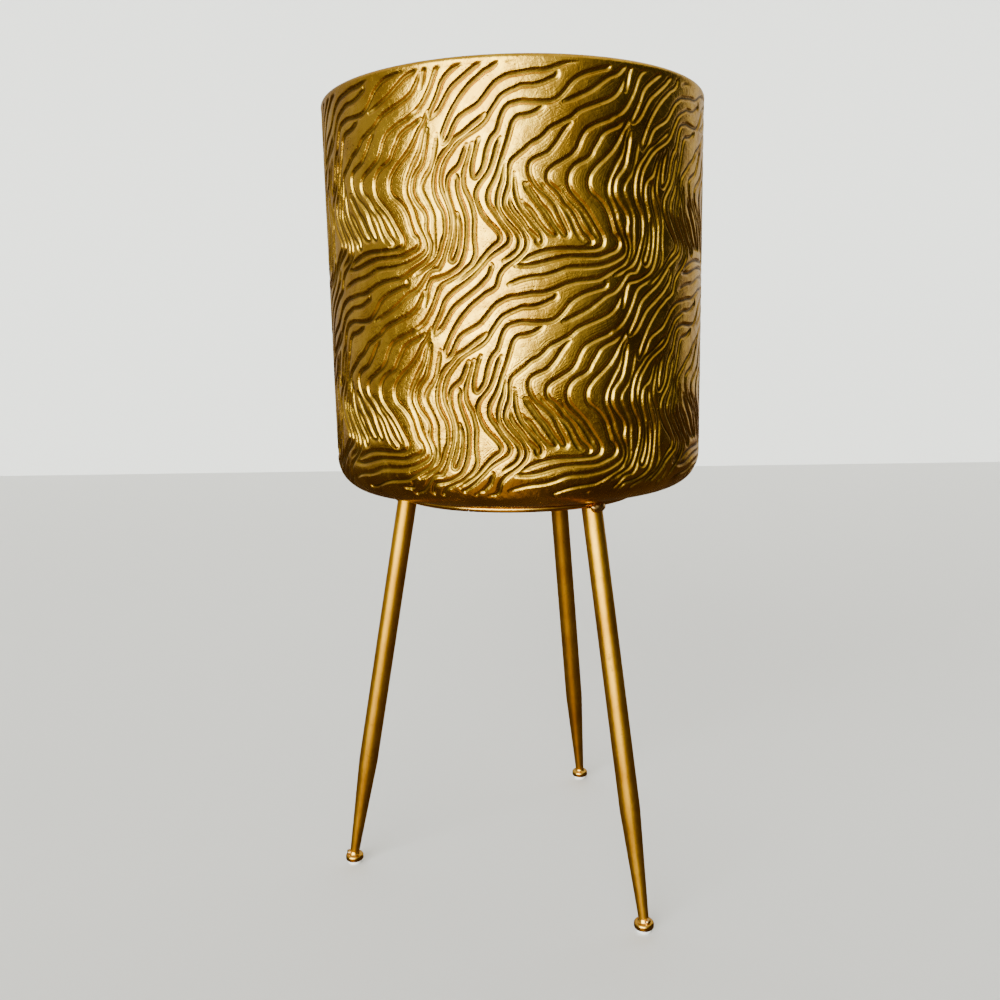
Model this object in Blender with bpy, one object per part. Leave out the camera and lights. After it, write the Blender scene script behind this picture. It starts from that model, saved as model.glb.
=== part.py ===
"""Round sheet-metal planter pot, standing loose in the ring of a three-legged tube stand.

Units are metres and +Z is up. The origin is on the floor, on the pot's axis.
"""

import math

import bmesh
import bpy
from mathutils import Vector

# Driving dimensions of the pot.
POT_RADIUS = 0.190
POT_TOP = 0.810
SHEET = 0.0012
RIM_BEAD_RADIUS = 0.0045
CORNER_RADIUS = 0.034
FLANGE_REACH = 0.148
DISH_FLAT_RADIUS = 0.040
DISH_RISE = 0.009
DISH_EDGE_RADIUS = 0.160

# Driving dimensions of the stand.
RING_RADIUS = 0.1215
RING_BAR_RADIUS = 0.0032
RING_HEIGHT = 0.4200
LEG_RADIUS = 0.01025
LEG_TIP_RADIUS = 0.0050
LEG_WALL = 0.0015
LEG_TOP_REACH = 0.1186
LEG_TAPER_SHARE = 0.27
FOOT_REACH = 0.1935
LEG_TURNS = {"left": 195, "front": 315, "back": 75}

# Driving dimensions of the feet.
GLIDE_RADIUS = 0.0079
GLIDE_HEIGHT = 0.0040
GLIDE_STEM_RADIUS = 0.0027
GLIDE_STEM_HEIGHT = 0.0075
CAP_RADIUS = 0.0098
CAP_TOP = 0.0112
CAP_SOCKET_DEPTH = 0.0040

# Faces that touch on the real pot stand this far apart.
GAP = 0.0003

POT_SEGMENTS = 60
FOOT_SEGMENTS = 20
LEG_SIDES = 16
RING_BAR_SIDES = 10
WIRE_SIDES = 8
SHARP_ANGLE = math.radians(35)
WELD_DISTANCE = 0.00001

# The dish's outer face rests on the ring, and rises as the square of the radius.
RING_TOP = RING_HEIGHT + RING_BAR_RADIUS
DISH_CURVE = DISH_RISE / (RING_RADIUS**2 - DISH_FLAT_RADIUS**2)
DISH_LOW = RING_TOP + GAP - DISH_RISE
LEG_TOP_HEIGHT = RING_HEIGHT - RING_BAR_RADIUS - GAP
LEG_TIP_HEIGHT = CAP_TOP + GAP


def clear_scene():
    for old in list(bpy.data.objects):
        bpy.data.objects.remove(old)


def metal(name, colour, roughness, metallic=1.0):
    finish = bpy.data.materials.new(name)
    finish.use_nodes = True
    shader = finish.node_tree.nodes["Principled BSDF"]
    shader.inputs["Base Color"].default_value = (*colour, 1.0)
    shader.inputs["Roughness"].default_value = roughness
    shader.inputs["Metallic"].default_value = metallic
    return finish


def finished_mesh(name, shape, finish):
    """Closes the shape, turns its faces outwards, and makes it a smooth-shaded mesh."""
    bmesh.ops.remove_doubles(shape, verts=shape.verts[:], dist=WELD_DISTANCE)
    bmesh.ops.recalc_face_normals(shape, faces=shape.faces[:])
    mesh = bpy.data.meshes.new(name)
    shape.to_mesh(mesh)
    shape.free()
    mesh.shade_smooth()
    mesh.set_sharp_from_angle(angle=SHARP_ANGLE)
    mesh.materials.append(finish)
    return mesh


def place(name, mesh, parent, reach=0.0):
    piece = bpy.data.objects.new(name, mesh)
    bpy.context.scene.collection.objects.link(piece)
    piece.parent = parent
    piece.location = (reach, 0, 0)
    return piece


def frame_point(name, turn_degrees=0.0, parent=None):
    point = bpy.data.objects.new(name, None)
    bpy.context.scene.collection.objects.link(point)
    point.parent = parent
    point.rotation_euler = (0, 0, math.radians(turn_degrees))
    return point


def turned(outline, segments, on_axis=False):
    """A body turned about Z from (radius, height) points. An outline on the axis is open there."""
    shape = bmesh.new()
    corners = [shape.verts.new((radius, 0, height)) for radius, height in outline]
    edges = [shape.edges.new(pair) for pair in zip(corners, corners[1:])]
    if not on_axis:
        edges.append(shape.edges.new((corners[-1], corners[0])))
    bmesh.ops.spin(
        shape,
        geom=corners + edges,
        cent=(0, 0, 0),
        axis=(0, 0, 1),
        angle=2 * math.pi,
        steps=segments,
        use_merge=True,
    )
    return shape


def arc(centre, radius, start_degrees, end_degrees, steps):
    points = []
    for step in range(steps + 1):
        angle = math.radians(start_degrees + (end_degrees - start_degrees) * step / steps)
        points.append((centre[0] + radius * math.cos(angle), centre[1] + radius * math.sin(angle)))
    return points


def dish_height(radius):
    """Height of the dish's outer face: a flat middle, then a curve that rises outwards."""
    return DISH_LOW + DISH_CURVE * max(radius**2 - DISH_FLAT_RADIUS**2, 0)


def flange_height(radius):
    """The wall's turned-in flange lies under the dish, one sheet lower."""
    return dish_height(radius) - SHEET - GAP


def corner_of_wall():
    """Centre of the rounded corner, and the angle at which it runs tangent into the flange."""
    corner_reach = POT_RADIUS - CORNER_RADIUS
    radius = corner_reach
    for _ in range(8):
        slope = math.atan(2 * DISH_CURVE * radius)
        radius = corner_reach + CORNER_RADIUS * math.sin(slope)
    centre = (corner_reach, flange_height(radius) + CORNER_RADIUS * math.cos(slope))
    return centre, math.degrees(slope) - 90


def build_pot_wall(parent):
    """Wall, rounded lower corner with its flange, and a rim curled inwards over the wire."""
    curl_steps = 9
    corner_steps = 5
    curl_end = 280
    bead = (POT_RADIUS - RIM_BEAD_RADIUS, POT_TOP - RIM_BEAD_RADIUS)
    corner, tangent = corner_of_wall()
    flange_middle = (FLANGE_REACH + corner[0]) / 2
    outside = arc(bead, RIM_BEAD_RADIUS, curl_end, 0, curl_steps)
    outside += arc(corner, CORNER_RADIUS, 0, tangent, corner_steps)
    outside += [(radius, flange_height(radius)) for radius in (flange_middle, FLANGE_REACH)]
    inside = [(radius, flange_height(radius) + SHEET) for radius in (FLANGE_REACH, flange_middle)]
    inside += arc(corner, CORNER_RADIUS - SHEET, tangent, 0, corner_steps)
    inside += arc(bead, RIM_BEAD_RADIUS - SHEET, 0, curl_end, curl_steps)
    finish = metal("embossed_brass_leaf", (0.66, 0.43, 0.11), 0.30)
    mesh = finished_mesh("pot_wall", turned(outside + inside, POT_SEGMENTS), finish)
    place("pot_wall", mesh, parent)


def build_pot_base(parent):
    """Shallow dished bottom, with a flat middle, that lies on the wall's flange."""
    rings = 4
    radii = [
        DISH_FLAT_RADIUS + (DISH_EDGE_RADIUS - DISH_FLAT_RADIUS) * ring / rings
        for ring in range(rings + 1)
    ]
    inside = [(0, DISH_LOW + SHEET)] + [(radius, dish_height(radius) + SHEET) for radius in radii]
    outside = [(radius, dish_height(radius)) for radius in reversed(radii)] + [(0, DISH_LOW)]
    finish = metal("plain_brass_leaf", (0.52, 0.33, 0.09), 0.36)
    shape = turned(inside + outside, POT_SEGMENTS, on_axis=True)
    place("pot_base", finished_mesh("pot_base", shape, finish), parent)


def build_rim_wire(parent):
    """Round wire that stiffens the rim, inside the curl."""
    centre = (POT_RADIUS - RIM_BEAD_RADIUS, POT_TOP - RIM_BEAD_RADIUS)
    wire_radius = RIM_BEAD_RADIUS - SHEET - GAP
    outline = arc(centre, wire_radius, 360, 360 / WIRE_SIDES, WIRE_SIDES - 1)
    finish = metal("bright_steel_wire", (0.55, 0.53, 0.50), 0.35)
    place("rim_wire", finished_mesh("rim_wire", turned(outline, POT_SEGMENTS), finish), parent)


def build_stand_ring(parent, finish):
    """Round-bar hoop that the dished bottom sits in."""
    centre = (RING_RADIUS, RING_HEIGHT)
    outline = arc(centre, RING_BAR_RADIUS, 450, 90 + 360 / RING_BAR_SIDES, RING_BAR_SIDES - 1)
    mesh = finished_mesh("stand_ring", turned(outline, POT_SEGMENTS), finish)
    place("stand_ring", mesh, parent)


def level_loop(shape, height, radius):
    """Corners of a leg's cross-section, cut level at this height."""
    top = Vector((LEG_TOP_REACH, 0, LEG_TOP_HEIGHT))
    run = (Vector((FOOT_REACH, 0, LEG_TIP_HEIGHT)) - top).normalized()
    side = Vector((0, 1, 0))
    across = side.cross(run)
    corners = []
    for step in range(LEG_SIDES):
        turn = 2 * math.pi * step / LEG_SIDES
        point = top + radius * (math.cos(turn) * across + math.sin(turn) * side)
        point += run * ((height - point.z) / run.z)
        corners.append(shape.verts.new(point))
    return corners


def leg_mesh(finish):
    """Splayed tube, parallel for most of its length and then drawn down to a closed tip."""
    leg_height = LEG_TOP_HEIGHT - LEG_TIP_HEIGHT
    shoulder = LEG_TIP_HEIGHT + LEG_TAPER_SHARE * leg_height
    bore_end = LEG_TIP_HEIGHT + 4 * LEG_WALL
    shape = bmesh.new()
    loops = [
        level_loop(shape, LEG_TIP_HEIGHT, LEG_TIP_RADIUS),
        level_loop(shape, shoulder, LEG_RADIUS),
        level_loop(shape, LEG_TOP_HEIGHT, LEG_RADIUS),
        level_loop(shape, LEG_TOP_HEIGHT, LEG_RADIUS - LEG_WALL),
        level_loop(shape, shoulder, LEG_RADIUS - LEG_WALL),
        level_loop(shape, bore_end, LEG_TIP_RADIUS - LEG_WALL),
    ]
    for lower, upper in zip(loops, loops[1:]):
        for step in range(LEG_SIDES):
            after = (step + 1) % LEG_SIDES
            shape.faces.new((lower[step], lower[after], upper[after], upper[step]))
    shape.faces.new(loops[0])
    shape.faces.new(loops[-1])
    return finished_mesh("leg", shape, finish)


def foot_cap_mesh():
    """Squat round cap with a rolled edge, and a blind socket below for the glide's stem."""
    bottom = GLIDE_HEIGHT + GAP
    lower_round = 0.0018
    upper_round = 0.0026
    socket_radius = GLIDE_STEM_RADIUS + GAP
    socket_top = bottom + CAP_SOCKET_DEPTH
    outline = [(0, CAP_TOP)]
    outline += arc((CAP_RADIUS - upper_round, CAP_TOP - upper_round), upper_round, 90, 0, 3)
    outline += arc((CAP_RADIUS - lower_round, bottom + lower_round), lower_round, 0, -90, 2)
    outline += [(socket_radius, bottom), (socket_radius, socket_top), (0, socket_top)]
    finish = metal("foot_brass", (0.72, 0.44, 0.12), 0.22)
    return finished_mesh("foot_cap", turned(outline, FOOT_SEGMENTS, on_axis=True), finish)


def glide_mesh():
    """Plastic floor glide: a round pad with a stem that presses up into the cap."""
    edge = 0.0008
    outline = [(0, GLIDE_STEM_HEIGHT), (GLIDE_STEM_RADIUS, GLIDE_STEM_HEIGHT)]
    outline += [(GLIDE_STEM_RADIUS, GLIDE_HEIGHT)]
    outline += [(GLIDE_RADIUS - edge, GLIDE_HEIGHT), (GLIDE_RADIUS, GLIDE_HEIGHT - edge)]
    outline += [(GLIDE_RADIUS, edge), (GLIDE_RADIUS - edge, 0), (0, 0)]
    finish = metal("white_plastic", (0.80, 0.78, 0.72), 0.45, metallic=0.0)
    return finished_mesh("glide", turned(outline, FOOT_SEGMENTS, on_axis=True), finish)


def build_stand(stand):
    finish = metal("stand_brass", (0.62, 0.36, 0.09), 0.34)
    build_stand_ring(stand, finish)
    leg = leg_mesh(finish)
    foot_cap = foot_cap_mesh()
    glide = glide_mesh()
    for side, turn in LEG_TURNS.items():
        spot = frame_point(f"{side}_leg_direction", turn, stand)
        place(f"leg_{side}", leg, spot)
        place(f"foot_cap_{side}", foot_cap, spot, FOOT_REACH)
        place(f"glide_{side}", glide, spot, FOOT_REACH)


def build_pot(pot):
    build_pot_wall(pot)
    build_pot_base(pot)
    build_rim_wire(pot)


clear_scene()
build_pot(frame_point("pot"))
build_stand(frame_point("stand"))
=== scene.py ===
"""Looks of the brass planter pot on its three-leg stand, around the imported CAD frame. Lengths in metres."""

import math

import bpy
import numpy as np
from mathutils import Matrix, Vector


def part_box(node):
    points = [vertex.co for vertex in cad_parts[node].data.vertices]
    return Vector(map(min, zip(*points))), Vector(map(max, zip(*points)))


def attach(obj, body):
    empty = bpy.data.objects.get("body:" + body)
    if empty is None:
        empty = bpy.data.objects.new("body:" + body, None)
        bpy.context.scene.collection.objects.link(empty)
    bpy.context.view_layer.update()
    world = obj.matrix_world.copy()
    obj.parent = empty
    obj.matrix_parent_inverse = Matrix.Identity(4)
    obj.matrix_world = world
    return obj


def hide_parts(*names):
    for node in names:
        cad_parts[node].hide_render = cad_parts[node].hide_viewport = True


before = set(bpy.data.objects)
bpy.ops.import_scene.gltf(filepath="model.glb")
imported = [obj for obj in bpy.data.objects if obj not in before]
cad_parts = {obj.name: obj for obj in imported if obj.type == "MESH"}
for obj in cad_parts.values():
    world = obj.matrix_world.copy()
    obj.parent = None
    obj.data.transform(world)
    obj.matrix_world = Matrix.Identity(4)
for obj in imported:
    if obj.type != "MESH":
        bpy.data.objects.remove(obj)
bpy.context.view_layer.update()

# Pot
WALL_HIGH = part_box("pot_wall")[1]
POT_RADIUS = round(WALL_HIGH.x, 5)
BEAD_RADIUS = 0.0045
BEAD_HEIGHT = round(WALL_HIGH.z, 4) - BEAD_RADIUS
BEAD_FROM = -8
BEAD_TO = 280
SHEET = 0.0012
CORNER_RADIUS = 0.034
CORNER_CENTRE = (0.156, 0.4633)
CORNER_SWEEP = math.radians(77.4)
FLANGE_REACH = 0.148
FLANGE_DROP = 0.0015
FLANGE_EDGE = 0.0006
FLANGE_CLEAR = 0.0003
DISH_FLAT = 0.040
DISH_LOW = 0.4145
DISH_CURVE = 0.6838
DISH_EDGE = 0.160
DISH_REACHES = (
    0, 0.012, 0.026, 0.036, 0.040, 0.046, 0.055, 0.066, 0.078, 0.090, 0.102, 0.114, 0.126, 0.138,
    0.148, 0.155, DISH_EDGE,
)
# Stand
RING_LOW, RING_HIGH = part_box("stand_ring")
RING_BAR = round((RING_HIGH.z - RING_LOW.z) / 2, 5)
RING_RADIUS = round(RING_HIGH.x, 5) - RING_BAR
RING_HEIGHT = round((RING_HIGH.z + RING_LOW.z) / 2, 5)
RING_JOINT = math.radians(-23.0)
RING_GAP = math.radians(0.55)
RING_SIDES = 20
RING_END_INSET = 0.0007
JOINT_CORE = RING_BAR - 0.0006
LEG_RADIUS = 0.01025
LEG_TIP_RADIUS = 0.0050
LEG_TIP_EDGE = 0.0006
LEG_TOP_REACH = 0.1186
LEG_TOP_HEIGHT = 0.4165
LEG_TOP_SPARE = 0.008
LEG_TIP_HEIGHT = 0.0115
LEG_TAPER_SHARE = 0.27
FOOT_PLACES = {name: sum(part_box(f"glide_{name}"), Vector()) / 2 for name in ("left", "front", "back")}
FOOT_REACH = round(FOOT_PLACES["left"].xy.length, 4)
LEG_TURNS = {name: math.degrees(math.atan2(at.y, at.x)) for name, at in FOOT_PLACES.items()}
# Relief: the wall is unrolled, with 0 round the wall at the front
VIEW_TURN = 6.4
FRONT_TURN = math.radians(VIEW_TURN - 90.0)
WALL_TOP = BEAD_HEIGHT
WALL_FOOT = CORNER_CENTRE[1] - CORNER_RADIUS * CORNER_SWEEP
RELIEF_DEPTH = 0.0019
RELIEF_BAND = 0.8045
RELIEF_FOOT = 0.4420
SKIN_STEP = 0.0008
SKIN_PANELS = 8
SKIN_BACK = 0.0021
BACK_ROWS = 24
INNER_STEP = 0.0030
INNER_OFFSET = 0.0022
INNER_DEPTH = 0.0008
INNER_BACK = SKIN_BACK + 0.00005
TILE_CELLS = 420
TILE_ACROSS = (179.0, -4.0)
TILE_UP = (2.7, 178.0)
TILE_SIDES = np.array([TILE_ACROSS, TILE_UP], float)
REACH_MM = 8.0
LINE_SPACING = 0.35
PATINA_WIDTH = 1.12
# Modelling
MERGE_DISTANCE = 0.00002
ON_AXIS = 1e-6

# Valley lines of one tile of the stamped relief as drawn: depth share, then points
# (millimetres round the wall from the front, millimetres above the floor).
VALLEYS = [
    (1, [
        (6, 641), (12, 640.8), (20, 641), (30, 643), (40, 645.5), (50, 647.3), (60, 647.8), (70, 647.8),
        (80, 648.3), (91, 652), (96, 654), (99, 658), (98, 663), (94, 667), (92, 672.5), (90.5, 677),
        (89, 682), (87, 686), (84, 690.5), (79, 695.5), (73, 700), (70, 706), (71, 714), (77, 722),
        (85, 729), (92, 735.5), (97, 742), (102, 750), (107, 757), (112, 765),
    ]),
    (0.8, [
        (0, 625.5), (10, 629), (20, 631), (30, 632), (40, 634.5), (50, 638), (60, 639), (70, 639.3),
        (80, 640.5), (90, 643), (99, 647), (104, 650), (106.5, 653.5), (106.2, 658), (104, 664),
        (100, 671), (97, 678), (95, 685), (92, 692), (88.5, 699), (87.7, 705), (89.5, 712), (93, 719),
        (97, 726), (101, 732), (103.5, 737), (105.5, 744), (109, 756),
    ]),
    (1, [
        (-58, 566), (-56.5, 564), (-54, 565.5), (-51.5, 568.5), (-49, 573), (-46, 579), (-43, 583),
        (-38, 586.5), (-32, 589.5), (-26, 593), (-21, 598), (-16, 604), (-11, 609), (-5, 612.5),
        (0, 614.5), (10, 616), (20, 617.5), (30, 618), (40, 621), (50, 625), (60, 627.5), (70, 628.5),
        (80, 630), (89, 634.5), (96, 638), (103, 641.5), (107, 645), (110, 650), (111.2, 657),
        (110, 662), (107.5, 667), (106.7, 672), (107.5, 677), (106.7, 682), (104, 686.5), (100, 691),
        (97, 695), (95, 699), (94, 703), (94.5, 708), (96, 713), (99, 717), (103, 721.5), (105.5, 726),
        (106.7, 731), (108, 736), (110.5, 751),
    ]),
    (0.7, [
        (-72, 646.5), (-67, 651), (-64.8, 656), (-64.8, 662), (-65, 670), (-65.2, 677), (-65, 683),
        (-67, 690), (-70, 696), (-73.5, 702), (-75.5, 708), (-74, 713), (-71, 717.5), (-67.5, 721.5),
        (-65, 726), (-63.3, 731), (-62, 737), (-59, 750),
    ]),
    (1, [
        (-84, 637), (-76, 640.5), (-69, 644), (-63.5, 648.5), (-60, 654.5), (-57, 663), (-55, 668),
        (-54.3, 675), (-54.5, 682), (-56, 688), (-59, 693), (-62, 699), (-63.5, 704), (-63.8, 710),
        (-63, 717), (-61, 724), (-58, 730), (-54, 735), (-50, 739), (-45, 744.5), (-37, 749),
        (-30, 754), (-23, 759), (-17, 763),
    ]),
    (0.9, [
        (-133, 598), (-127, 600), (-119, 603.5), (-109, 608.5), (-101, 614), (-92, 620), (-84, 623.5),
        (-79, 628), (-75, 633), (-71, 638), (-67, 640), (-61.5, 640.8), (-59.5, 643), (-57, 647.5),
        (-55, 652.5), (-53, 658), (-51.5, 663), (-50, 669), (-48.8, 675), (-48.5, 682), (-50, 690),
        (-53, 698), (-56, 705), (-57, 712), (-56, 719), (-53, 727), (-48, 734), (-43, 740), (-37, 745),
        (-30, 749), (-22, 753.5), (-17, 758), (-13, 764), (-8, 771), (-4, 776), (2.7, 780), (8, 782),
        (13, 784), (23, 784.5), (30, 786), (37, 789), (42, 791.5), (43, 794.5), (42.5, 797),
    ]),
    (1, [
        (-43, 685), (-41.3, 676), (-41, 668), (-41.7, 661), (-43, 655), (-45.5, 649), (-47, 646.8),
        (-49, 646), (-51, 647.5), (-51, 651), (-49, 656), (-47.3, 661), (-46, 667), (-45.3, 674),
        (-45.5, 681), (-46.8, 687), (-48.5, 693), (-50.5, 699), (-51.5, 705), (-51.3, 711),
        (-49.5, 716), (-46, 719.5), (-41.5, 723), (-38.5, 728), (-36.5, 733), (-33.5, 740),
    ]),
    (1, [
        (-76, 610), (-74, 618), (-72.3, 625), (-69, 631), (-62, 632.8), (-55, 634.5), (-48, 638),
        (-42.5, 642), (-39, 648), (-36.8, 655), (-35.5, 663), (-34.8, 672), (-34.8, 680), (-36.5, 687),
        (-39, 694), (-41.3, 701), (-42.3, 708), (-42, 713), (-43.5, 715.8), (-45, 714),
    ]),
    (1, [
        (68, 657), (70, 657.5), (72.5, 660), (71, 663), (66, 668), (62, 674), (59, 680), (55, 686),
        (50, 691), (46, 697), (41, 702.5), (36, 706.5), (34, 711), (34.5, 716), (38, 720), (44, 723.5),
        (50, 727), (56, 731), (60, 736), (63.7, 744), (68.7, 751), (75.7, 755), (82.7, 758),
        (90.7, 761), (96.7, 764.5),
    ]),
    (0.9, [
        (-85, 590.5), (-82, 592), (-76, 597), (-71, 604), (-67, 611), (-64, 618), (-61, 624),
        (-57, 628), (-50, 631.5), (-42, 635), (-37, 639), (-33, 642), (-30, 646), (-28, 651),
        (-27.8, 656), (-28.5, 662), (-28.5, 672), (-28, 680), (-29, 688), (-31, 695), (-34, 701),
        (-36.5, 707), (-37, 714), (-36, 720), (-33.5, 728), (-31, 735), (-28.5, 741),
    ]),
    (1, [
        (-66, 586), (-68.5, 585.5), (-69, 587.5), (-67, 592), (-63, 599), (-60, 605), (-57, 612),
        (-53, 617), (-48, 621), (-42, 625), (-36, 629), (-31, 633), (-26, 638), (-21, 643), (-16, 648),
        (-10, 652), (-4, 655.5), (0, 658.5), (1.8, 663), (0.5, 668), (-3, 673), (-7, 679), (-11, 685),
        (-15, 691), (-16.3, 697), (-15, 703), (-11.5, 709), (-8, 716), (-5, 725), (-2, 733), (1, 741),
        (3.5, 749), (6, 756), (10, 760), (16, 761), (22, 762.5), (27, 765), (31, 768), (32, 770),
    ]),
    (1, [
        (-66, 586), (-62.5, 588.5), (-59, 592), (-55, 598), (-51, 604), (-47, 608.5), (-41, 613),
        (-34, 618), (-27, 623), (-21, 628.5), (-17, 633), (-15, 638), (-14, 641.5), (-15.5, 643),
    ]),
    (1, [
        (-45, 629.5), (-38, 634), (-32, 638), (-27, 642), (-22, 647.5), (-17, 653), (-12, 657.5),
        (-8, 660.5), (-6.5, 664), (-7.5, 667.5), (-11, 672), (-16, 677), (-20, 682), (-24, 689),
        (-26.3, 696), (-26, 702), (-23.5, 707), (-19.5, 712), (-15.5, 717), (-12.5, 723), (-10, 730),
        (-8, 737), (-5, 744),
    ]),
    (1, [
        (-58, 566), (-57.5, 571), (-55, 577), (-52, 583), (-48, 590), (-43, 597), (-38, 603),
        (-32, 609), (-26, 613.5), (-20, 618), (-14, 621), (-10.5, 624), (-9, 628), (-7.5, 633),
        (-4, 638), (0, 641.5), (5, 645), (11, 650), (15, 655), (16, 660), (14.5, 666), (11, 672),
        (6, 678), (1, 684), (-2.5, 690), (-2.5, 695), (-0.5, 701), (1.5, 707), (1.8, 713), (1.8, 719),
        (4, 725), (9, 729.5), (15, 734), (21, 739), (27, 742), (32, 746), (37, 751), (43, 754),
        (49, 757), (55, 760), (61, 765), (67, 768), (75, 771), (83, 774), (91, 777.5), (97, 782),
        (102, 789), (106, 796),
    ]),
    (0.9, [
        (-4, 645), (2, 648.5), (7, 652.5), (9.5, 657), (10, 662), (8, 667), (3, 672.5), (-2, 678),
        (-6, 684), (-8, 690), (-8, 696), (-6.5, 703), (-4, 710), (-3, 717), (-2, 726),
    ]),
    (0.9, [
        (1, 697), (2.5, 691), (5, 686), (9, 681), (13, 676), (16.5, 670), (20.5, 666.7), (24, 663),
        (24.7, 660), (27, 657.8), (29, 659.3), (29.3, 662.5), (28, 667), (25, 671), (20, 677),
        (15, 683), (11, 689), (8.5, 695), (7, 702), (6.3, 708), (5.8, 716),
    ]),
    (0.9, [
        (12, 693), (14, 690), (18, 687), (22, 682), (25, 677), (28, 673), (32, 668.5), (36, 665.5),
        (40, 664.3), (42.3, 665.5), (41, 669), (38, 673), (34, 679), (30, 685), (25, 691), (20, 698),
        (16, 704), (14.5, 707.5),
    ]),
    (1, [
        (16.5, 707), (20, 702), (24, 696), (28, 690), (33, 685), (37, 679), (40, 674), (44, 669),
        (47, 665.5), (49.5, 664.3), (51, 666), (50, 670), (47, 676), (44, 682), (41.5, 688), (38, 693),
        (32, 698.5), (26, 703), (22, 708), (19.5, 713), (18.5, 719), (20, 724), (24, 727), (30, 729.5),
        (35, 732), (39, 736), (43, 741), (47, 747), (51, 752), (54.5, 756),
    ]),
    (0.6, [
        (26.5, 709.5), (30, 705), (36, 698), (43, 691), (50, 685), (54, 679), (57, 672), (59.5, 667),
        (63, 662.5), (66, 660.3),
    ]),
    (0.6, [
        (45, 704), (50, 697), (56, 691), (62, 686), (67, 680), (71, 674), (75, 667), (77.5, 664),
    ]),
    (1, [
        (11, 643.5), (16, 647), (22, 649.5), (30, 652), (40, 653.7), (50, 654), (60, 654), (70, 654.3),
        (77, 655), (82, 657), (83.5, 661), (82, 666), (78, 672), (74, 678), (70, 684), (65, 690),
        (59, 696), (54, 702), (52, 708), (52.5, 714), (55.5, 719.5), (61, 724), (67.5, 727),
        (72, 730.5), (75, 736), (79, 742), (83, 748), (89, 752), (96, 755), (102, 758), (105, 759.5),
    ]),
    (1, [
        (-23, 744), (-25.5, 738), (-27.5, 731), (-29, 724), (-29.2, 718), (-28.5, 714.5), (-27, 713.3),
        (-25, 714), (-22.5, 717), (-20, 721), (-18.3, 727), (-17, 733), (-14.8, 739), (-12, 744.5),
        (-8, 749), (-6, 754), (-4, 760), (-1, 766), (2.7, 769.5), (8, 771), (13, 772), (23, 771.5),
        (33, 771.5), (39, 772.5), (45, 776), (50, 781), (55, 787), (60, 791), (68, 795), (76, 797.5),
        (83, 799.5), (88, 801), (89.2, 803.5), (88.5, 806),
    ]),
]


# ---------------------------------------------------------------- modelling helpers


def start_mesh(name):
    """A new object in edit mode that holds one vertex at the origin."""
    bpy.ops.object.select_all(action="DESELECT")
    bpy.ops.mesh.primitive_plane_add(size=0.01, location=(0, 0, 0))
    made = bpy.context.object
    made.name = name
    bpy.ops.object.mode_set(mode="EDIT")
    bpy.ops.mesh.select_all(action="SELECT")
    bpy.ops.mesh.merge(type="CENTER")
    return made


def draw_line(points):
    """Moves the single vertex to the first point and extrudes it through the rest."""
    bpy.ops.transform.translate(value=points[0])
    for here, there in zip(points, points[1:]):
        bpy.ops.mesh.extrude_vertices_move(TRANSFORM_OT_translate={"value": there - here})
    bpy.ops.mesh.select_all(action="SELECT")


def close_up(angle):
    """Merges doubles, turns the faces outward and leaves edit mode, smooth up to angle degrees."""
    bpy.ops.mesh.select_all(action="SELECT")
    bpy.ops.mesh.remove_doubles(threshold=MERGE_DISTANCE)
    bpy.ops.mesh.normals_make_consistent(inside=False)
    bpy.ops.object.mode_set(mode="OBJECT")
    bpy.ops.object.shade_smooth_by_angle(angle=math.radians(angle))


def turned(name, outline, centre=(0, 0, 0), axis=(0, 0, 1), side=(1, 0, 0), steps=96, smooth=32.0):
    """A closed turned solid: outline is (reach from the axis, distance along it)."""
    made = start_mesh(name)
    along = Vector(axis).normalized()
    out = Vector(side).normalized()
    draw_line([Vector(centre) + out * reach + along * rise for reach, rise in outline])
    if max(outline[0][0], outline[-1][0]) > ON_AXIS:
        bpy.ops.mesh.edge_face_add()
        bpy.ops.mesh.delete(type="ONLY_FACE")
        bpy.ops.mesh.select_all(action="SELECT")
    bpy.ops.mesh.spin(steps=steps, angle=math.tau, center=centre, axis=along)
    close_up(smooth)
    return made


def arc(centre, radius, start, end, count):
    """Points of a circular arc; angles in degrees from the outward direction, up positive."""
    turns = [math.radians(start + (end - start) * i / count) for i in range(count + 1)]
    return [(centre[0] + radius * math.cos(t), centre[1] + radius * math.sin(t)) for t in turns]


def spot(reach, turn, height):
    """The point at a reach and a bearing in degrees from the pot's axis."""
    bearing = math.radians(turn)
    return Vector((reach * math.cos(bearing), reach * math.sin(bearing), height))


def finish_piece(made, body, slot, material, *nodes):
    """Gives a piece its material and body, and hides the CAD nodes that it stands in for. slot is not used.
    """
    made.data.materials.clear()
    made.data.materials.append(material)
    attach(made, body)
    if nodes:
        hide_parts(*nodes)


# ---------------------------------------------------------------- relief of the wall


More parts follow.
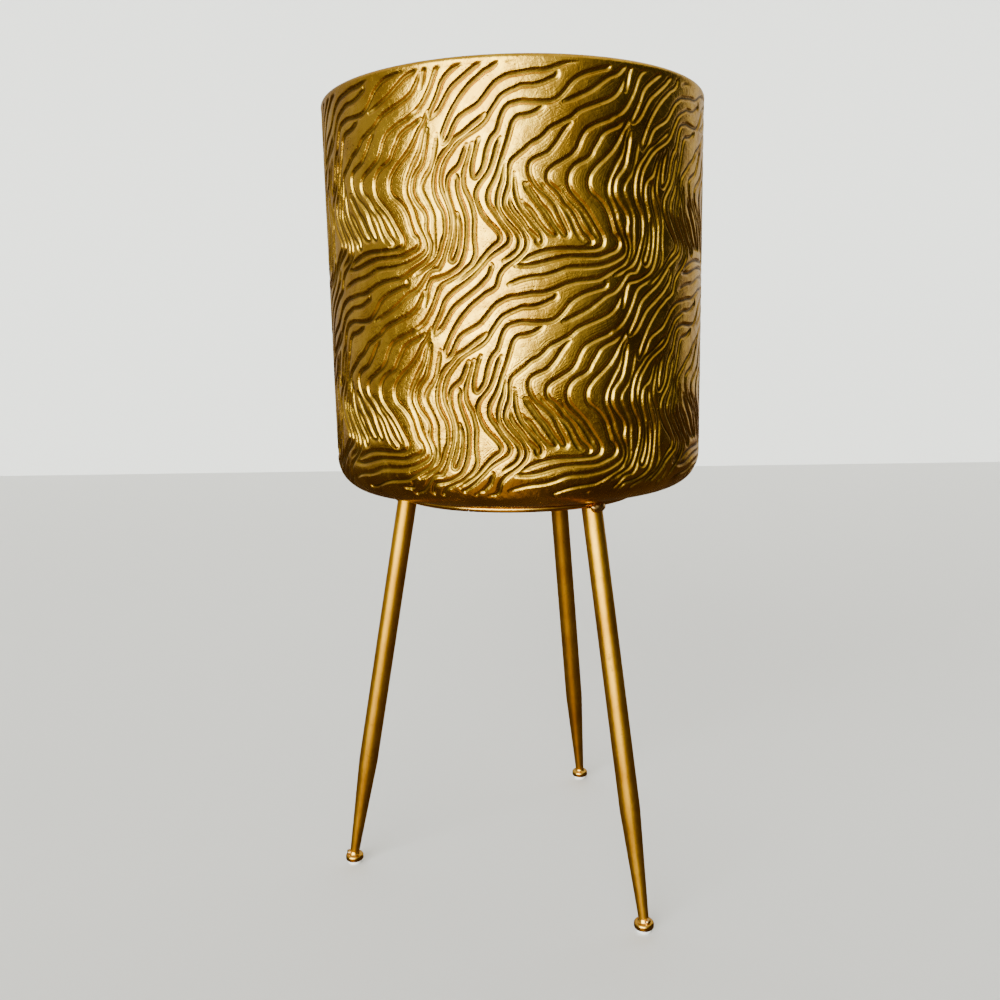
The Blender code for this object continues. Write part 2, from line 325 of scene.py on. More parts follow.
def smooth_line(points):
    """Centripetal Catmull-Rom curve through the points, sampled about every LINE_SPACING."""
    pts = np.array(points, float)
    pts = np.vstack([2 * pts[0] - pts[1], pts, 2 * pts[-1] - pts[-2]])
    made = []
    for p0, p1, p2, p3 in zip(pts, pts[1:], pts[2:], pts[3:]):
        gaps = [max(np.linalg.norm(b - a), 1e-6) ** 0.5 for a, b in ((p0, p1), (p1, p2), (p2, p3))]
        t0, t1 = 0.0, gaps[0]
        t2 = t1 + gaps[1]
        t3 = t2 + gaps[2]
        count = max(2, int(np.linalg.norm(p2 - p1) / LINE_SPACING))
        t = np.linspace(t1, t2, count, endpoint=False)[:, None]
        a1 = (t1 - t) / (t1 - t0) * p0 + (t - t0) / (t1 - t0) * p1
        a2 = (t2 - t) / (t2 - t1) * p1 + (t - t1) / (t2 - t1) * p2
        a3 = (t3 - t) / (t3 - t2) * p2 + (t - t2) / (t3 - t2) * p3
        b1 = (t2 - t) / (t2 - t0) * a1 + (t - t0) / (t2 - t0) * a2
        b2 = (t3 - t) / (t3 - t1) * a2 + (t - t1) / (t3 - t1) * a3
        made.append((t2 - t) / (t2 - t1) * b1 + (t - t1) / (t2 - t1) * b2)
    return np.vstack(made)


def ease(x):
    """0 to 1 with soft ends, for x from 0 to 1."""
    x = np.clip(x, 0.0, 1.0)
    return x * x * (3 - 2 * x)


def bell(x, width):
    return np.exp(-((x / width) ** 2))


def rib_profile(gap):
    """Height share over the distance from the nearest valley line, in millimetres."""
    flank_start, flank_width = 0.40, 2.7
    crown_width = 4.4
    lip_place, lip_width = 2.9, 0.8
    flank = ease((gap - flank_start) / flank_width)
    crown = 1 - bell(gap, crown_width)
    lip = bell(gap - lip_place, lip_width)
    return 0.74 * flank + 0.20 * crown + 0.06 * lip


def line_depth(line, share):
    """Depth share along a valley line, which gets shallower over its last millimetres at each end."""
    run_out, end_share = 7.0, 0.45
    steps = np.linalg.norm(np.diff(line, axis=0), axis=1)
    length = np.concatenate([[0], np.cumsum(steps)])
    from_end = np.minimum(length, length[-1] - length)
    return share * (end_share + (1 - end_share) * ease(from_end / run_out))


def stamp_tile():
    """(height share, patina, distance in mm) on the tile's grid, which wraps round in both directions."""
    inverse = np.linalg.inv(TILE_SIDES)
    (across_s, across_v), (up_s, up_v) = TILE_SIDES
    cells = TILE_CELLS
    height = np.full((cells, cells), rib_profile(REACH_MM))
    patina = np.zeros((cells, cells))
    nearest = np.full((cells, cells), REACH_MM)
    window = int(math.ceil(REACH_MM / (TILE_UP[1] / cells))) + 1
    offsets = np.arange(-window, window + 1)
    off_a, off_b = np.meshgrid(offsets, offsets, indexing="ij")
    for share, points in VALLEYS:
        line = smooth_line(points)
        gap = np.full((cells, cells), REACH_MM)
        strength = np.zeros((cells, cells))
        for (a, b), depth in zip(line @ inverse * cells, line_depth(line, share)):
            ia, ib = int(round(a)), int(round(b))
            fa = (ia + off_a - a) / cells
            fb = (ib + off_b - b) / cells
            dist = np.hypot(fa * across_s + fb * up_s, fa * across_v + fb * up_v)
            wa, wb = (ia + off_a) % cells, (ib + off_b) % cells
            old = gap[wa, wb]
            nearer = dist < old
            gap[wa, wb] = np.where(nearer, dist, old)
            strength[wa, wb] = np.where(nearer, depth, strength[wa, wb])
        height = np.minimum(height, 1 - strength * (1 - rib_profile(gap)))
        patina = np.maximum(patina, strength * bell(gap, PATINA_WIDTH))
        nearest = np.minimum(nearest, gap)
    return height, patina, nearest


def sample_tile(tile, s_mm, v_mm):
    """Bilinear value of a tile grid at unrolled wall places."""
    place = np.stack([s_mm, v_mm], -1) @ np.linalg.inv(TILE_SIDES) * TILE_CELLS
    low = np.floor(place).astype(int)
    part = place - low
    a0, b0 = low[..., 0] % TILE_CELLS, low[..., 1] % TILE_CELLS
    a1, b1 = (a0 + 1) % TILE_CELLS, (b0 + 1) % TILE_CELLS
    fa, fb = part[..., 0], part[..., 1]
    near = tile[a0, b0] * (1 - fb) + tile[a0, b1] * fb
    far = tile[a1, b0] * (1 - fb) + tile[a1, b1] * fb
    return near * (1 - fa) + far * fa


def wall_profile(v):
    """(reach, height, normal outward, normal upward) of the plain outer face at unrolled height v."""
    turn = np.clip((CORNER_CENTRE[1] - v) / CORNER_RADIUS, 0, CORNER_SWEEP)
    reach = CORNER_CENTRE[0] + CORNER_RADIUS * np.cos(turn)
    rise = CORNER_CENTRE[1] - CORNER_RADIUS * np.sin(turn) + np.maximum(v - CORNER_CENTRE[1], 0)
    return reach, rise, np.cos(turn), -np.sin(turn)


def relief_at(tiles, s, v):
    """(height share, patina, ripple) on the wall, with the smooth band, ragged foot and back seam."""
    foot_fade, band_fade = 0.004, 0.0035
    seam_plain, seam_fade, seam_width, seam_depth = 0.002, 0.006, 0.0009, 0.5
    height, patina, nearest = (sample_tile(tile, s * 1000, v * 1000) for tile in tiles)
    wave = 0.0030 * np.sin(s * 95.0) + 0.0022 * np.sin(s * 231.0 + 1.3) + 0.0012 * np.sin(s * 610.0)
    foot = ease((v - (RELIEF_FOOT + wave)) / foot_fade)
    band = ease((RELIEF_BAND - v) / band_fade)
    seam_gap = math.pi * POT_RADIUS - np.abs(s)
    seam = ease((seam_gap - seam_plain) / seam_fade)
    keep = foot * band * seam
    groove = bell(seam_gap, seam_width) * seam_depth
    ripple = 1 - (1 - nearest / REACH_MM) * keep
    return 1 - (1 - height) * keep - groove, np.clip(patina * keep + groove, 0, 1), ripple


def skin_grid(tiles, step, inside):
    """Points (columns, rows, 3), patina and ripple of the whole wall face."""
    round_wall = math.tau * POT_RADIUS
    columns = int(round(round_wall / step / SKIN_PANELS)) * SKIN_PANELS
    rows = int(round((WALL_TOP - WALL_FOOT) / step)) + 1
    s = (np.arange(columns + 1) / columns - 0.5) * round_wall
    v = np.linspace(WALL_TOP, WALL_FOOT, rows)
    s_all, v_all = np.meshgrid(s, v, indexing="ij")
    height, patina, ripple = relief_at(tiles, s_all, v_all)
    reach, rise, n_out, n_up = wall_profile(v_all)
    lift = -(1 - height) * RELIEF_DEPTH
    if inside:
        lift = -INNER_OFFSET - (1 - height) * INNER_DEPTH
    turn = s_all / POT_RADIUS + FRONT_TURN
    flat = reach + n_out * lift
    points = np.stack([flat * np.cos(turn), flat * np.sin(turn), rise + n_up * lift], -1)
    points[-1] = points[0]
    return points, patina, ripple


def grid_normals(points, sign):
    """Normals of a grid that goes all the way round, whose last column repeats the first."""
    wrapped = np.concatenate([points[-2:-1], points, points[1:2]])
    across = wrapped[2:] - wrapped[:-2]
    down = np.gradient(points, axis=1)
    normal = np.cross(down, across) * sign
    return normal / np.linalg.norm(normal, axis=-1, keepdims=True)


def back_line(offset):
    """Outline of the plain hidden face behind a skin: one straight part, then rows round the corner."""
    v = np.concatenate([[WALL_TOP], np.linspace(CORNER_CENTRE[1], WALL_FOOT, BACK_ROWS)])
    reach, rise, n_out, n_up = wall_profile(v)
    return reach - n_out * offset, rise - n_up * offset


def back_grid(points, back):
    """The back outline carried round, one column behind each column of points."""
    turn = np.arctan2(points[:, 0, 1], points[:, 0, 0])[:, None]
    reach, rise = back
    height = np.broadcast_to(rise[None], (len(points), len(rise)))
    return np.stack([reach[None] * np.cos(turn), reach[None] * np.sin(turn), height], -1)


def quads(grid):
    return np.stack([grid[:-1, :-1], grid[:-1, 1:], grid[1:, 1:], grid[1:, :-1]], -1).reshape(-1, 4)


def strip_faces(front, rear, whole, flip):
    """Faces round a strip: fine face first, then back, top, foot and, unless it is whole, two ends."""
    top = np.stack([front[:-1, 0], front[1:, 0], rear[1:, 0], rear[:-1, 0]], -1)
    low = np.stack([front[:-1, -1], rear[:-1, -1], rear[1:, -1], front[1:, -1]], -1)
    groups = [quads(front), quads(rear)[:, ::-1], top, low]
    faces = [face for group in groups for face in group.tolist()]
    if not whole:
        faces.append([*rear[0].tolist(), *front[0][::-1].tolist()])
        faces.append([*front[-1].tolist(), *rear[-1][::-1].tolist()])
    return [face[::-1] for face in faces] if flip else faces


def add_share(mesh, kind, values, hidden):
    """Stores one number for each point: values on the fine face, hidden on the plain back."""
    rest = np.full(len(mesh.vertices) - values.size, hidden)
    layer = mesh.attributes.new(kind, "FLOAT", "POINT")
    layer.data.foreach_set("value", np.concatenate([values.reshape(-1), rest]).astype(np.float32))


def set_normals(mesh, normals, fine_faces):
    """Smooth shading, with the whole wall's normals on the fine face, so that panels join unseen."""
    mesh.polygons.foreach_set("use_smooth", np.ones(len(mesh.polygons), bool))
    loops = np.zeros(len(mesh.loops), np.int32)
    mesh.loops.foreach_get("vertex_index", loops)
    flat = np.zeros(len(mesh.polygons) * 3, np.float32)
    mesh.polygons.foreach_get("normal", flat)
    totals = np.zeros(len(mesh.polygons), np.int32)
    mesh.polygons.foreach_get("loop_total", totals)
    corner = np.repeat(flat.reshape(-1, 3), totals, axis=0)
    fine_loops = fine_faces * 4
    corner[:fine_loops] = normals.reshape(-1, 3)[loops[:fine_loops]]
    mesh.normals_split_custom_set(corner.tolist())


def sheet_panel(name, points, normals, patina, ripple, back, whole):
    """A closed strip of wall with a fine face and a plain back. whole joins the last column to the first."""
    if whole:
        points, normals = points[:-1], normals[:-1]
        patina, ripple = patina[:-1], ripple[:-1]
    columns, rows = points.shape[:2]
    behind = back_grid(points, back)
    front = np.arange(columns * rows).reshape(columns, rows)
    rear = front.size + np.arange(columns * behind.shape[1]).reshape(columns, behind.shape[1])
    if whole:
        front = np.vstack([front, front[:1]])
        rear = np.vstack([rear, rear[:1]])
    faces_axis = np.dot(normals[0, rows // 2], points[0, rows // 2] * (1, 1, 0)) < 0
    places = np.concatenate([points.reshape(-1, 3), behind.reshape(-1, 3)])
    mesh = bpy.data.meshes.new(name)
    mesh.from_pydata(places.tolist(), [], strip_faces(front, rear, whole, faces_axis))
    mesh.update()
    made = bpy.data.objects.new(name, mesh)
    bpy.context.scene.collection.objects.link(made)
    add_share(mesh, "patina", patina, 0.4)
    add_share(mesh, "ripple", ripple, 1.0)
    set_normals(mesh, normals, len(quads(front)))
    return made


def build_wall(tiles, material):
    points, patina, ripple = skin_grid(tiles, SKIN_STEP, False)
    normals = grid_normals(points, 1.0)
    behind = back_line(SKIN_BACK)
    per_panel = (points.shape[0] - 1) // SKIN_PANELS
    for i in range(SKIN_PANELS):
        cut = slice(i * per_panel, (i + 1) * per_panel + 1)
        made = sheet_panel(
            f"pot_skin_{i + 1}", points[cut], normals[cut], patina[cut], ripple[cut], behind, False
        )
        finish_piece(made, "pot", "embossed_leaf", material, "pot_wall")
    points, patina, ripple = skin_grid(tiles, INNER_STEP, True)
    normals = grid_normals(points, -1.0)
    behind = back_line(INNER_BACK)
    made = sheet_panel("pot_inner_skin", points, normals, patina, ripple, behind, True)
    finish_piece(made, "pot", "embossed_leaf", material, "pot_wall")


# ---------------------------------------------------------------- other pieces of the pot


def dish_height(reach):
    return DISH_LOW + DISH_CURVE * max(reach**2 - DISH_FLAT**2, 0)


def build_rim(material):
    """The top edge of the sheet, curled inward over the rim wire."""
    centre = (POT_RADIUS - BEAD_RADIUS, BEAD_HEIGHT)
    outside = arc(centre, BEAD_RADIUS, BEAD_FROM, BEAD_TO, 40)
    inside = arc(centre, BEAD_RADIUS - SHEET, BEAD_TO, BEAD_FROM, 36)
    made = turned("pot_rim_bead", outside + inside, steps=220)
    finish_piece(made, "pot", "embossed_leaf", material, "pot_wall")


def build_base(material):
    low = [(reach, dish_height(reach)) for reach in DISH_REACHES]
    high = [(reach, dish_height(reach) + SHEET) for reach in reversed(DISH_REACHES)]
    made = turned("pot_dish", low + high, steps=128)
    finish_piece(made, "pot", "plain_leaf", material, "pot_base")


def build_flange(material):
    """The wall's lower edge, turned in under the dish."""
    edge = CORNER_CENTRE[0] + CORNER_RADIUS * math.cos(CORNER_SWEEP) + FLANGE_EDGE
    reaches = [edge, 0.158, 0.153, FLANGE_REACH + FLANGE_EDGE]
    low = [(reach, dish_height(reach) - FLANGE_DROP) for reach in reaches]
    lip = [(FLANGE_REACH, dish_height(FLANGE_REACH) - FLANGE_DROP + FLANGE_EDGE)]
    high = [(reach, dish_height(reach) - FLANGE_CLEAR) for reach in reversed(reaches)]
    made = turned("pot_flange", low + lip + high, steps=160)
    finish_piece(made, "pot", "embossed_leaf", material, "pot_wall")


# ---------------------------------------------------------------- stand


def build_ring(material, weld_material):
    """The bar bent round, and the bulge of the butt joint where its two ends meet."""
    joint = RING_JOINT + FRONT_TURN
    made = start_mesh("stand_ring_bar")
    out = Vector((math.cos(joint + RING_GAP), math.sin(joint + RING_GAP), 0))
    section = [
        out * (RING_RADIUS + RING_BAR * math.cos(t)) + Vector((0, 0, RING_HEIGHT + RING_BAR * math.sin(t)))
        for t in [math.tau * i / RING_SIDES for i in range(RING_SIDES)]
    ]
    draw_line(section)
    bpy.ops.mesh.edge_face_add()
    bpy.ops.mesh.select_all(action="SELECT")
    bpy.ops.mesh.inset(thickness=RING_END_INSET)
    bpy.ops.mesh.select_all(action="SELECT")
    bpy.ops.mesh.spin(steps=170, angle=math.tau - 2 * RING_GAP, center=(0, 0, 0), axis=(0, 0, 1))
    close_up(32.0)
    finish_piece(made, "stand", "stand_gold", material, "stand_ring")
    place = Vector((math.cos(joint), math.sin(joint), 0)) * RING_RADIUS
    along = Vector((-math.sin(joint), math.cos(joint), 0))
    bulge = [
        (0, -0.0030), (JOINT_CORE * 0.8, -0.0022), (JOINT_CORE, -0.0012),
        (JOINT_CORE, 0.0012), (JOINT_CORE * 0.8, 0.0022), (0, 0.0030),
    ]
    made = turned("stand_ring_joint", bulge, place + Vector((0, 0, RING_HEIGHT)), along, (0, 0, 1), 20)
    finish_piece(made, "stand", "stand_gold", weld_material, "stand_ring")


def leg_ends(turn):
    return spot(LEG_TOP_REACH, turn, LEG_TOP_HEIGHT), spot(FOOT_REACH, turn, LEG_TIP_HEIGHT)


def build_leg(name, turn, material):
    """A tube that tapers over its lowest part, cut off level where it meets the ring."""
    top, tip = leg_ends(turn)
    axis = (top - tip).normalized()
    level = Vector((0, 0, 1)).cross(axis).normalized()
    length = (top - tip).length
    taper = length * LEG_TAPER_SHARE
    swell = LEG_RADIUS - LEG_TIP_RADIUS
    outline = [(0, 0), (LEG_TIP_RADIUS * 0.8, 0), (LEG_TIP_RADIUS, LEG_TIP_EDGE)]
    outline += [(LEG_TIP_RADIUS + swell * i / 8, LEG_TIP_EDGE + taper * i / 8) for i in range(1, 9)]
    straight = length + LEG_TOP_SPARE - taper
    outline += [(LEG_RADIUS, taper + straight * i / 4) for i in range(1, 5)]
    outline.append((0, length + LEG_TOP_SPARE))
    made = turned(f"leg_{name}_tube", outline, tip, axis, level, 48)
    bpy.ops.object.select_all(action="DESELECT")
    made.select_set(True)
    bpy.context.view_layer.objects.active = made
    bpy.ops.object.mode_set(mode="EDIT")
    bpy.ops.mesh.select_all(action="SELECT")
    bpy.ops.mesh.bisect(plane_co=(0, 0, LEG_TOP_HEIGHT), plane_no=(0, 0, 1), clear_outer=True, use_fill=True)
    close_up(40.0)
    finish_piece(made, "stand", "stand_gold", material, f"leg_{name}")


def build_weld(name, place, size, along, material, slot):
    """A small weld lump: a ball stretched along a direction and roughened."""
    bpy.ops.object.select_all(action="DESELECT")
    bpy.ops.mesh.primitive_uv_sphere_add(segments=32, ring_count=20, radius=1.0, location=(0, 0, 0))
    made = bpy.context.object
    made.name = name
    bpy.ops.object.mode_set(mode="EDIT")
    bpy.ops.mesh.select_all(action="SELECT")
    bpy.ops.transform.resize(value=size, center_override=(0, 0, 0))
    bpy.ops.object.mode_set(mode="OBJECT")
    turn = Vector((1, 0, 0)).rotation_difference(along).to_matrix().to_4x4()
    made.data.transform(Matrix.Translation(place) @ turn)
    grain = bpy.data.textures.new(name + "_grain", "CLOUDS")
    grain.noise_scale = 0.0035
    rough = made.modifiers.new("rough", "DISPLACE")
    rough.texture = grain
    rough.texture_coords = "LOCAL"
    rough.strength = 0.0017
    rough.mid_level = 0.5
    bpy.ops.object.modifier_apply(modifier="rough")
    bpy.ops.object.shade_smooth()
    finish_piece(made, "stand", slot, material)


def build_welds(name, turn, material):
    top, tip = leg_ends(turn)
    outward = spot(1, turn, 0).normalized()
    along = Vector((0, 0, 1)).cross(outward)
    at_ring = top + Vector((0, 0, 0.001)) + outward * 0.0092
    build_weld(f"weld_top_{name}", at_ring, (0.0090, 0.0046, 0.0056), along, material, "stand_gold")
    at_cap = tip + outward * 0.0052 + Vector((0, 0, 0.0012))
    build_weld(f"weld_foot_{name}", at_cap, (0.0034, 0.0028, 0.0028), along, material, "foot_gold")


def build_foot(name, turn, gold, white):
    """A squat cap with a fillet up to the leg, and the white pad that sits in it."""
    foot = spot(FOOT_REACH, turn, 0)
    cap = [(0, 0.0043), (0.0086, 0.0043), (0.0094, 0.0047), (0.0098, 0.0055), (0.0098, 0.0082)]
    cap += arc((0.0072, 0.0084), 0.0026, 0, 90, 10)
    cap += [(0.0062, 0.0111), (0.0050, 0.0109), (0, 0.0109)]
    made = turned(f"foot_cap_{name}_shell", cap, foot, steps=56, smooth=50)
    finish_piece(made, "stand", "foot_gold", gold, f"foot_cap_{name}")
    fillet = [(0.0030, 0.0106), (0.0071, 0.0108), (0.0064, 0.0113), (0.0058, 0.0121), (0.0054, 0.0133)]
    fillet += [(0.0050, 0.0142), (0.0030, 0.0142)]
    made = turned(f"foot_fillet_{name}", fillet, foot, steps=48, smooth=60)
    finish_piece(made, "stand", "foot_gold", gold)
    pad = [(0, 0), (0.0066, 0), (0.0074, 0.0004), (0.0079, 0.0012), (0.0079, 0.0030), (0.0076, 0.0037)]
    pad += [(0.0068, 0.0040), (0.0027, 0.0040), (0.0027, 0.0070), (0.0020, 0.0075), (0, 0.0075)]
    made = turned(f"glide_{name}_pad", pad, foot, steps=48, smooth=50)
    finish_piece(made, "stand", "glide_white", white, f"glide_{name}")


# ---------------------------------------------------------------- materials


class Nodes:
    """Short way to add and join the nodes of a tree."""

    def __init__(self, tree):
        self.tree = tree

    def add(self, kind):
        return self.tree.nodes.new(kind)

    def join(self, source, target):
        if isinstance(source, (int, float)):
            target.default_value = source
        elif isinstance(source, tuple):
            target.default_value = (*source, 1.0)
        else:
            self.tree.links.new(source, target)

    def ramp(self, value, low, high, start=0.0, end=1.0, kind="LINEAR"):
        made = self.add("ShaderNodeMapRange")
        made.clamp = True
        made.interpolation_type = kind
        for socket, number in zip(("From Min", "From Max", "To Min", "To Max"), (low, high, start, end)):
            made.inputs[socket].default_value = number
        self.join(value, made.inputs["Value"])
        return made.outputs["Result"]

    def math(self, kind, *values):
        made = self.add("ShaderNodeMath")
        made.operation = kind
        for value, socket in zip(values, made.inputs):
            self.join(value, socket)
        return made.outputs[0]

    def mix(self, factor, a, b):
        made = self.add("ShaderNodeMix")
        made.data_type = "RGBA"
        self.join(factor, made.inputs[0])
        self.join(a, made.inputs[6])
        self.join(b, made.inputs[7])
        return made.outputs[2]


class Shader(Nodes):
    """A material's nodes, with patterns on Object coordinates."""

    def __init__(self, name):
        self.material = bpy.data.materials.new(name)
        self.material.use_nodes = True
        super().__init__(self.material.node_tree)
        self.base = self.tree.nodes["Principled BSDF"]
        self.place = self.add("ShaderNodeTexCoord").outputs["Object"]

    def noise(self, scale, detail=4.0, rough=0.55, distortion=0.0):
        made = self.add("ShaderNodeTexNoise")
        made.inputs["Scale"].default_value = scale
        made.inputs["Detail"].default_value = detail
        made.inputs["Roughness"].default_value = rough
        made.inputs["Distortion"].default_value = distortion
        self.join(self.place, made.inputs["Vector"])
        return made.outputs["Fac"]

    def spots(self, scale):
        made = self.add("ShaderNodeTexVoronoi")
        made.inputs["Scale"].default_value = scale
        self.join(self.place, made.inputs["Vector"])
        return made.outputs["Distance"]

    def attribute(self, name):
        made = self.add("ShaderNodeAttribute")
        made.attribute_name = name
        return made.outputs["Fac"]

    def bump(self, height, distance, strength):
        made = self.add("ShaderNodeBump")
        made.inputs["Distance"].default_value = distance
        made.inputs["Strength"].default_value = strength
        self.join(height, made.inputs["Height"])
        self.join(made.outputs["Normal"], self.base.inputs["Normal"])

    def set(self, **values):
        for name, value in values.items():
            self.join(value, self.base.inputs[name.replace("_", " ")])
        return self.material


BRASS_BRIGHT = (0.92, 0.555, 0.050)
BRASS_DEEP = (0.44, 0.205, 0.012)
UMBER = (0.014, 0.007, 0.002)
SATIN_LIGHT = (0.84, 0.43, 0.014)
SATIN_DEEP = (0.60, 0.27, 0.008)
FOOT_LIGHT = (0.92, 0.54, 0.08)
FOOT_DEEP = (0.74, 0.38, 0.04)
WELD_LIGHT = (0.88, 0.58, 0.20)
WELD_DEEP = (0.60, 0.34, 0.09)
PAD_WHITE = (0.93, 0.92, 0.89)
PAD_SHADE = (0.84, 0.82, 0.77)
PAD_DUST = (0.45, 0.41, 0.34)
STEEL = (0.50, 0.48, 0.44)
STEEL_STAIN = (0.28, 0.22, 0.15)
FLOOR_PALE = (0.80, 0.78, 0.75)
WALL_PALE = (0.92, 0.90, 0.86)


def brass_leaf(name, even_umber_share):
    """Aged brass: bright leaf mottling, brown patina in the valleys, fine dark pits."""
    s = Shader(name)
    patches = s.ramp(s.noise(22, 5, 0.6, 0.4), 0.40, 0.64)
    flecks = s.ramp(s.noise(170, 4, 0.62, 0.8), 0.46, 0.66)
    grain = s.noise(900, 3, 0.6)
    pitted = s.ramp(s.noise(34, 3, 0.5), 0.545, 0.60)
    pits = s.math("MULTIPLY", s.ramp(s.spots(560), 0.29, 0.18), pitted)
    gold = s.mix(s.math("MULTIPLY", patches, 0.70), BRASS_BRIGHT, BRASS_DEEP)
    gold = s.mix(s.math("MULTIPLY", flecks, 0.45), gold, BRASS_DEEP)
    dark = s.math("MULTIPLY", s.attribute("patina"), 0.96)
    dark = s.math("MAXIMUM", dark, s.math("MULTIPLY", pits, 0.9))
    # An even share of umber over the whole surface: none on the wall, 0.12 on the dish and the flange that
    # sit under the pot.
    dark = s.math("MAXIMUM", dark, even_umber_share)
    rough = s.math("ADD", s.ramp(flecks, 0, 1, 0.19, 0.31), s.math("MULTIPLY", dark, 0.25))
    dents = s.noise(75, 3, 0.55, 0.6)
    creases = s.noise(230, 2, 0.5, 0.5)
    contours = s.math("SINE", s.math("MULTIPLY", s.attribute("ripple"), 26.0))
    contour_share = s.ramp(s.noise(40), 0.42, 0.62, 0.0, 0.55)
    fine = s.math("MULTIPLY", grain, 0.9)
    for pattern, share in ((flecks, 1.2), (dents, 5.5), (creases, 1.8), (contours, contour_share)):
        fine = s.math("ADD", fine, s.math("MULTIPLY", pattern, share))
    s.bump(s.math("SUBTRACT", fine, pits), 0.00009, 0.7)
    return s.set(Base_Color=s.mix(dark, gold, UMBER), Metallic=1.0, Roughness=rough)


def stand_gold(name, light, deep, rough_low, rough_high):
    """Satin gold paint over steel: soft streaks, small dull marks."""
    s = Shader(name)
    clouds = s.ramp(s.noise(26, 4, 0.55), 0.35, 0.70)
    grain = s.noise(520, 4, 0.6)
    marks = s.ramp(s.noise(120, 4, 0.7, 0.6), 0.60, 0.72)
    colour = s.mix(clouds, light, deep)
    colour = s.mix(s.math("MULTIPLY", marks, 0.35), colour, UMBER)
    rough = s.math("ADD", s.ramp(grain, 0.3, 0.7, rough_low, rough_high), s.math("MULTIPLY", marks, 0.10))
    s.bump(grain, 0.00012, 0.6)
    return s.set(Base_Color=colour, Metallic=1.0, Roughness=rough)


def glossy_white(name):
    """Smooth white plastic with a faint haze and specks of dust."""
    s = Shader(name)
    haze = s.ramp(s.noise(300, 4, 0.6), 0.4, 0.7)
    dust = s.ramp(s.noise(900, 3, 0.6), 0.62, 0.72)
    colour = s.mix(s.math("MULTIPLY", haze, 0.5), PAD_WHITE, PAD_SHADE)
    colour = s.mix(s.math("MULTIPLY", dust, 0.4), colour, PAD_DUST)
    s.bump(haze, 0.00003, 0.4)
    return s.set(Base_Color=colour, Metallic=0.0, Roughness=s.ramp(haze, 0, 1, 0.12, 0.2))


def drawn_wire(name):
    """Drawn steel wire, stained in patches."""
    s = Shader(name)
    grain = s.noise(800, 3, 0.5)
    colour = s.mix(s.ramp(s.noise(90), 0.4, 0.7), STEEL, STEEL_STAIN)
    s.bump(grain, 0.00004, 0.4)
    return s.set(Base_Color=colour, Metallic=1.0, Roughness=s.ramp(grain, 0.3, 0.7, 0.30, 0.45))


def stage_paint(name, colour, rough):
    s = Shader(name)
    tint = s.ramp(s.noise(1.5, 2), 0.3, 0.7, 0.0, 0.06)
    deeper = tuple(share * 0.9 for share in colour)
    return s.set(Base_Color=s.mix(tint, colour, deeper), Metallic=0.0, Roughness=rough)


# ---------------------------------------------------------------- stage, light and camera


STAGE_SIZE = 14
WALL_DISTANCE = 3.2


def add_plane(name, material, place, turn=(0, 0, 0)):
    bpy.ops.object.select_all(action="DESELECT")
    bpy.ops.mesh.primitive_plane_add(size=STAGE_SIZE, location=place, rotation=turn)
    made = bpy.context.object
    made.name = name
    made.data.materials.append(material)
    made.visible_glossy = False
    return made


def build_stage():
    """A floor and a wall that the metal doesn't mirror: it mirrors the room in the world shader."""
    floor = add_plane("stage_floor", stage_paint("floor_pale", FLOOR_PALE, 0.55), (0, 0, 0))
    turn = math.radians(VIEW_TURN)
    place = (-WALL_DISTANCE * math.sin(turn), WALL_DISTANCE * math.cos(turn), 0)
    paint = stage_paint("wall_pale", WALL_PALE, 0.8)
    wall = add_plane("stage_wall", paint, place, (math.radians(90), 0, turn))


# Brightness of the room round the pot: bearing from the front in degrees, then level.
ROOM = [
    (-180, 0.56), (-120, 0.40), (-75, 0.30), (-57, 0.36), (-47, 9.4), (-22, 11.6), (0, 9.0),
    (14, 1.00), (34, 0.32), (52, 0.11), (64, 0.03), (112, 0.03), (130, 0.56), (160, 0.70), (180, 0.58),
]
WALL_TINT = (1.0, 0.93, 0.82)
WINDOW_TINT = (0.93, 1.0, 0.99)
BOARD_TINT = (1.0, 0.60, 0.28)
CEILING_LEVEL = 0.75
BACKDROP = (0.80, 0.79, 0.77)
BACKDROP_LEVEL = 0.9


def room_level(world, bearing):
    """Brightness over the bearing, eased from each step of ROOM to the next."""
    level = ROOM[0][1]
    for (left, low), (right, high) in zip(ROOM, ROOM[1:]):
        step = world.ramp(bearing, math.radians(left), math.radians(right), 0.0, high - low, "SMOOTHSTEP")
        level = world.math("ADD", step, level)
    return level


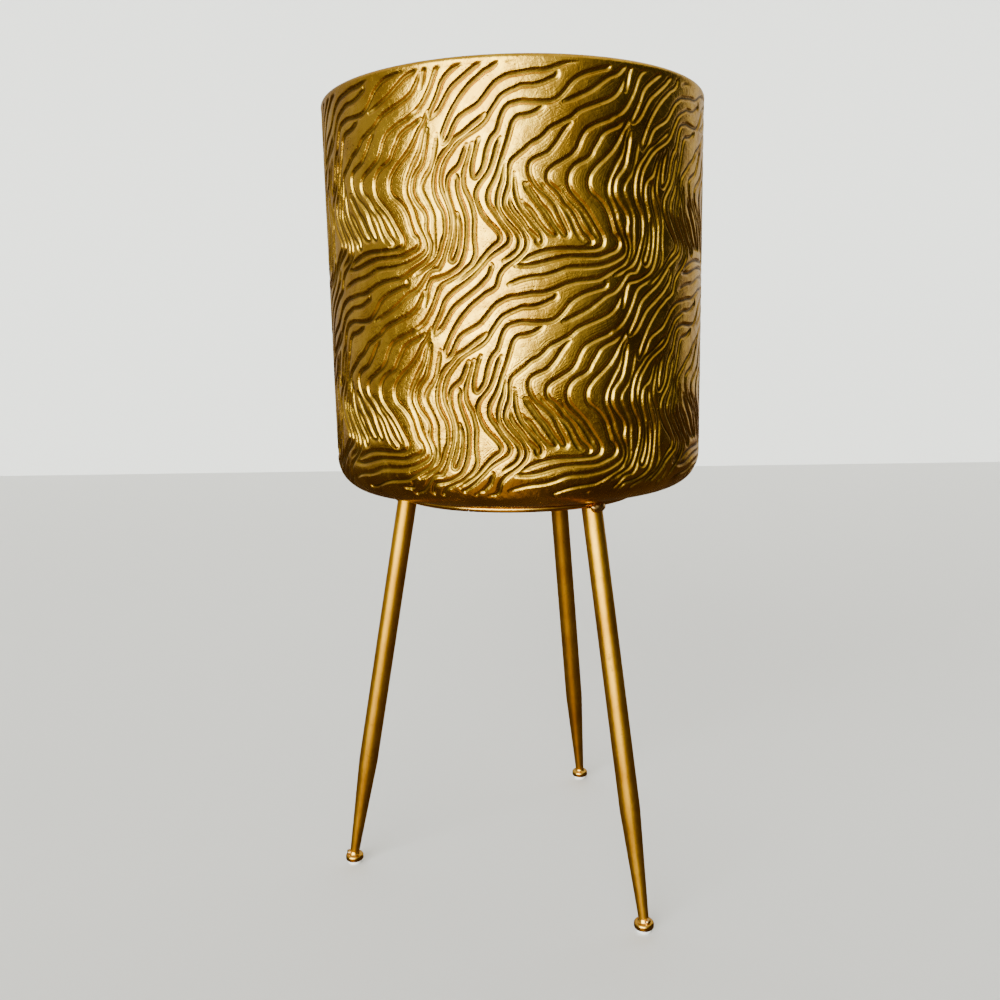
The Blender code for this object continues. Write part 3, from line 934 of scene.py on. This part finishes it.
def build_light():
    """A soft room for the light and the reflections, and a plain pale backdrop for the camera."""
    studio = bpy.data.worlds.new("studio")
    bpy.context.scene.world = studio
    studio.use_nodes = True
    world = Nodes(studio.node_tree)
    parts = world.add("ShaderNodeSeparateXYZ")
    world.join(world.add("ShaderNodeTexCoord").outputs["Generated"], parts.inputs[0])
    bearing = world.math("ARCTAN2", parts.outputs["X"], world.math("MULTIPLY", parts.outputs["Y"], -1.0))
    level = room_level(world, world.math("SUBTRACT", bearing, math.radians(VIEW_TURN)))
    above = world.ramp(parts.outputs["Z"], 0.42, 0.80, kind="SMOOTHSTEP")
    ground = world.ramp(parts.outputs["Z"], -0.16, -0.06, kind="SMOOTHSTEP")
    tint = world.mix(world.ramp(level, 0.3, 2.5, kind="SMOOTHSTEP"), WALL_TINT, WINDOW_TINT)
    walls = world.math("MULTIPLY", level, world.math("SUBTRACT", 1.0, above))
    room = world.math("ADD", world.math("MULTIPLY", above, CEILING_LEVEL), walls)
    boards = world.math("ADD", 0.055, world.math("MULTIPLY", level, 0.035))
    below = world.math("MULTIPLY", boards, world.math("SUBTRACT", 1.0, ground))
    shine = studio.node_tree.nodes["Background"]
    world.join(world.mix(ground, BOARD_TINT, tint), shine.inputs["Color"])
    world.join(world.math("ADD", world.math("MULTIPLY", room, ground), below), shine.inputs["Strength"])
    backdrop = world.add("ShaderNodeBackground")
    world.join(BACKDROP, backdrop.inputs["Color"])
    world.join(BACKDROP_LEVEL, backdrop.inputs["Strength"])
    choice = world.add("ShaderNodeMixShader")
    world.join(world.add("ShaderNodeLightPath").outputs["Is Camera Ray"], choice.inputs[0])
    world.join(shine.outputs[0], choice.inputs[1])
    world.join(backdrop.outputs[0], choice.inputs[2])
    world.join(choice.outputs[0], studio.node_tree.nodes["World Output"].inputs["Surface"])


CAMERA_PLACE = (0.13926, -1.00098, 0.58203)
CAMERA_TURN = 9.058
CAMERA_DIP = 9.739
CAMERA_ROLL = -1.174
CAMERA_LENS = 34.17


def build_camera():
    data = bpy.data.cameras.new("camera")
    data.lens = CAMERA_LENS
    data.sensor_width = 36.0
    data.clip_start = 0.01
    camera = bpy.data.objects.new("camera", data)
    bpy.context.scene.collection.objects.link(camera)
    aim = Matrix.Rotation(math.radians(CAMERA_TURN), 4, "Z")
    aim = aim @ Matrix.Rotation(math.radians(90 - CAMERA_DIP), 4, "X")
    aim = aim @ Matrix.Rotation(math.radians(CAMERA_ROLL), 4, "Z")
    camera.matrix_world = Matrix.Translation(CAMERA_PLACE) @ aim
    bpy.context.scene.camera = camera


# ---------------------------------------------------------------- the whole


def build_pot():
    leaf = brass_leaf("embossed_brass", 0.0)
    base_leaf = brass_leaf("plain_brass", 0.12)
    build_wall(stamp_tile(), leaf)
    build_rim(leaf)
    build_flange(base_leaf)
    build_base(base_leaf)
    rim_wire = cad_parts["rim_wire"]
    rim_wire.data.materials.clear()
    rim_wire.data.materials.append(drawn_wire("rim_steel"))


def build_stand():
    satin = stand_gold("stand_satin_gold", SATIN_LIGHT, SATIN_DEEP, 0.30, 0.44)
    foot = stand_gold("foot_gold", FOOT_LIGHT, FOOT_DEEP, 0.16, 0.26)
    weld = stand_gold("weld_gold", WELD_LIGHT, WELD_DEEP, 0.16, 0.30)
    white = glossy_white("glide_gloss")
    build_ring(foot, weld)
    for name, turn in LEG_TURNS.items():
        build_leg(name, turn, satin)
        build_foot(name, turn, foot, white)
        build_welds(name, turn, weld)


build_pot()
build_stand()
build_stage()
build_light()
build_camera()
